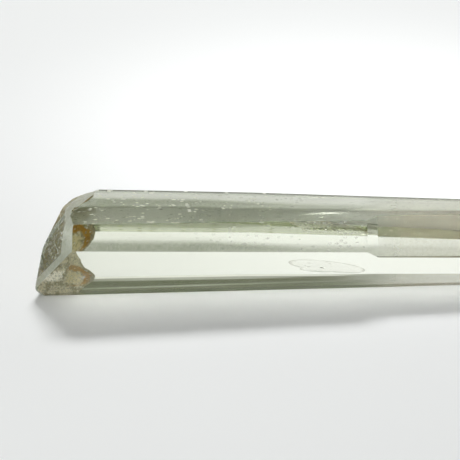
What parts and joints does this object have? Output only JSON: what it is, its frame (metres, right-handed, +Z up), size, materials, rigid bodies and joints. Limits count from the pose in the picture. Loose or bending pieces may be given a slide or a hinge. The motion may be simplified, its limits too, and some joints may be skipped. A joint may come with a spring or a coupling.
{
  "type": "chlorite quartz crystal",
  "caption": "Slender clear, pale grey-green six-sided quartz crystal lying on one prism face, with a growth step, a pyramid tip and a rough broken base.",
  "frame": {"origin": "on the resting face's plane, under the middle of the crystal's box", "axes": "+X along the crystal from its broken base to its tip, +Y from its front to its back, +Z up"},
  "size_m": [0.0944, 0.0176, 0.0131],
  "materials": {
    "quartz": "clear, pale grey-green, smooth"
  },
  "bodies": {
    "root": {"quartz_crystal": "quartz"}
  },
  "joints": []
}
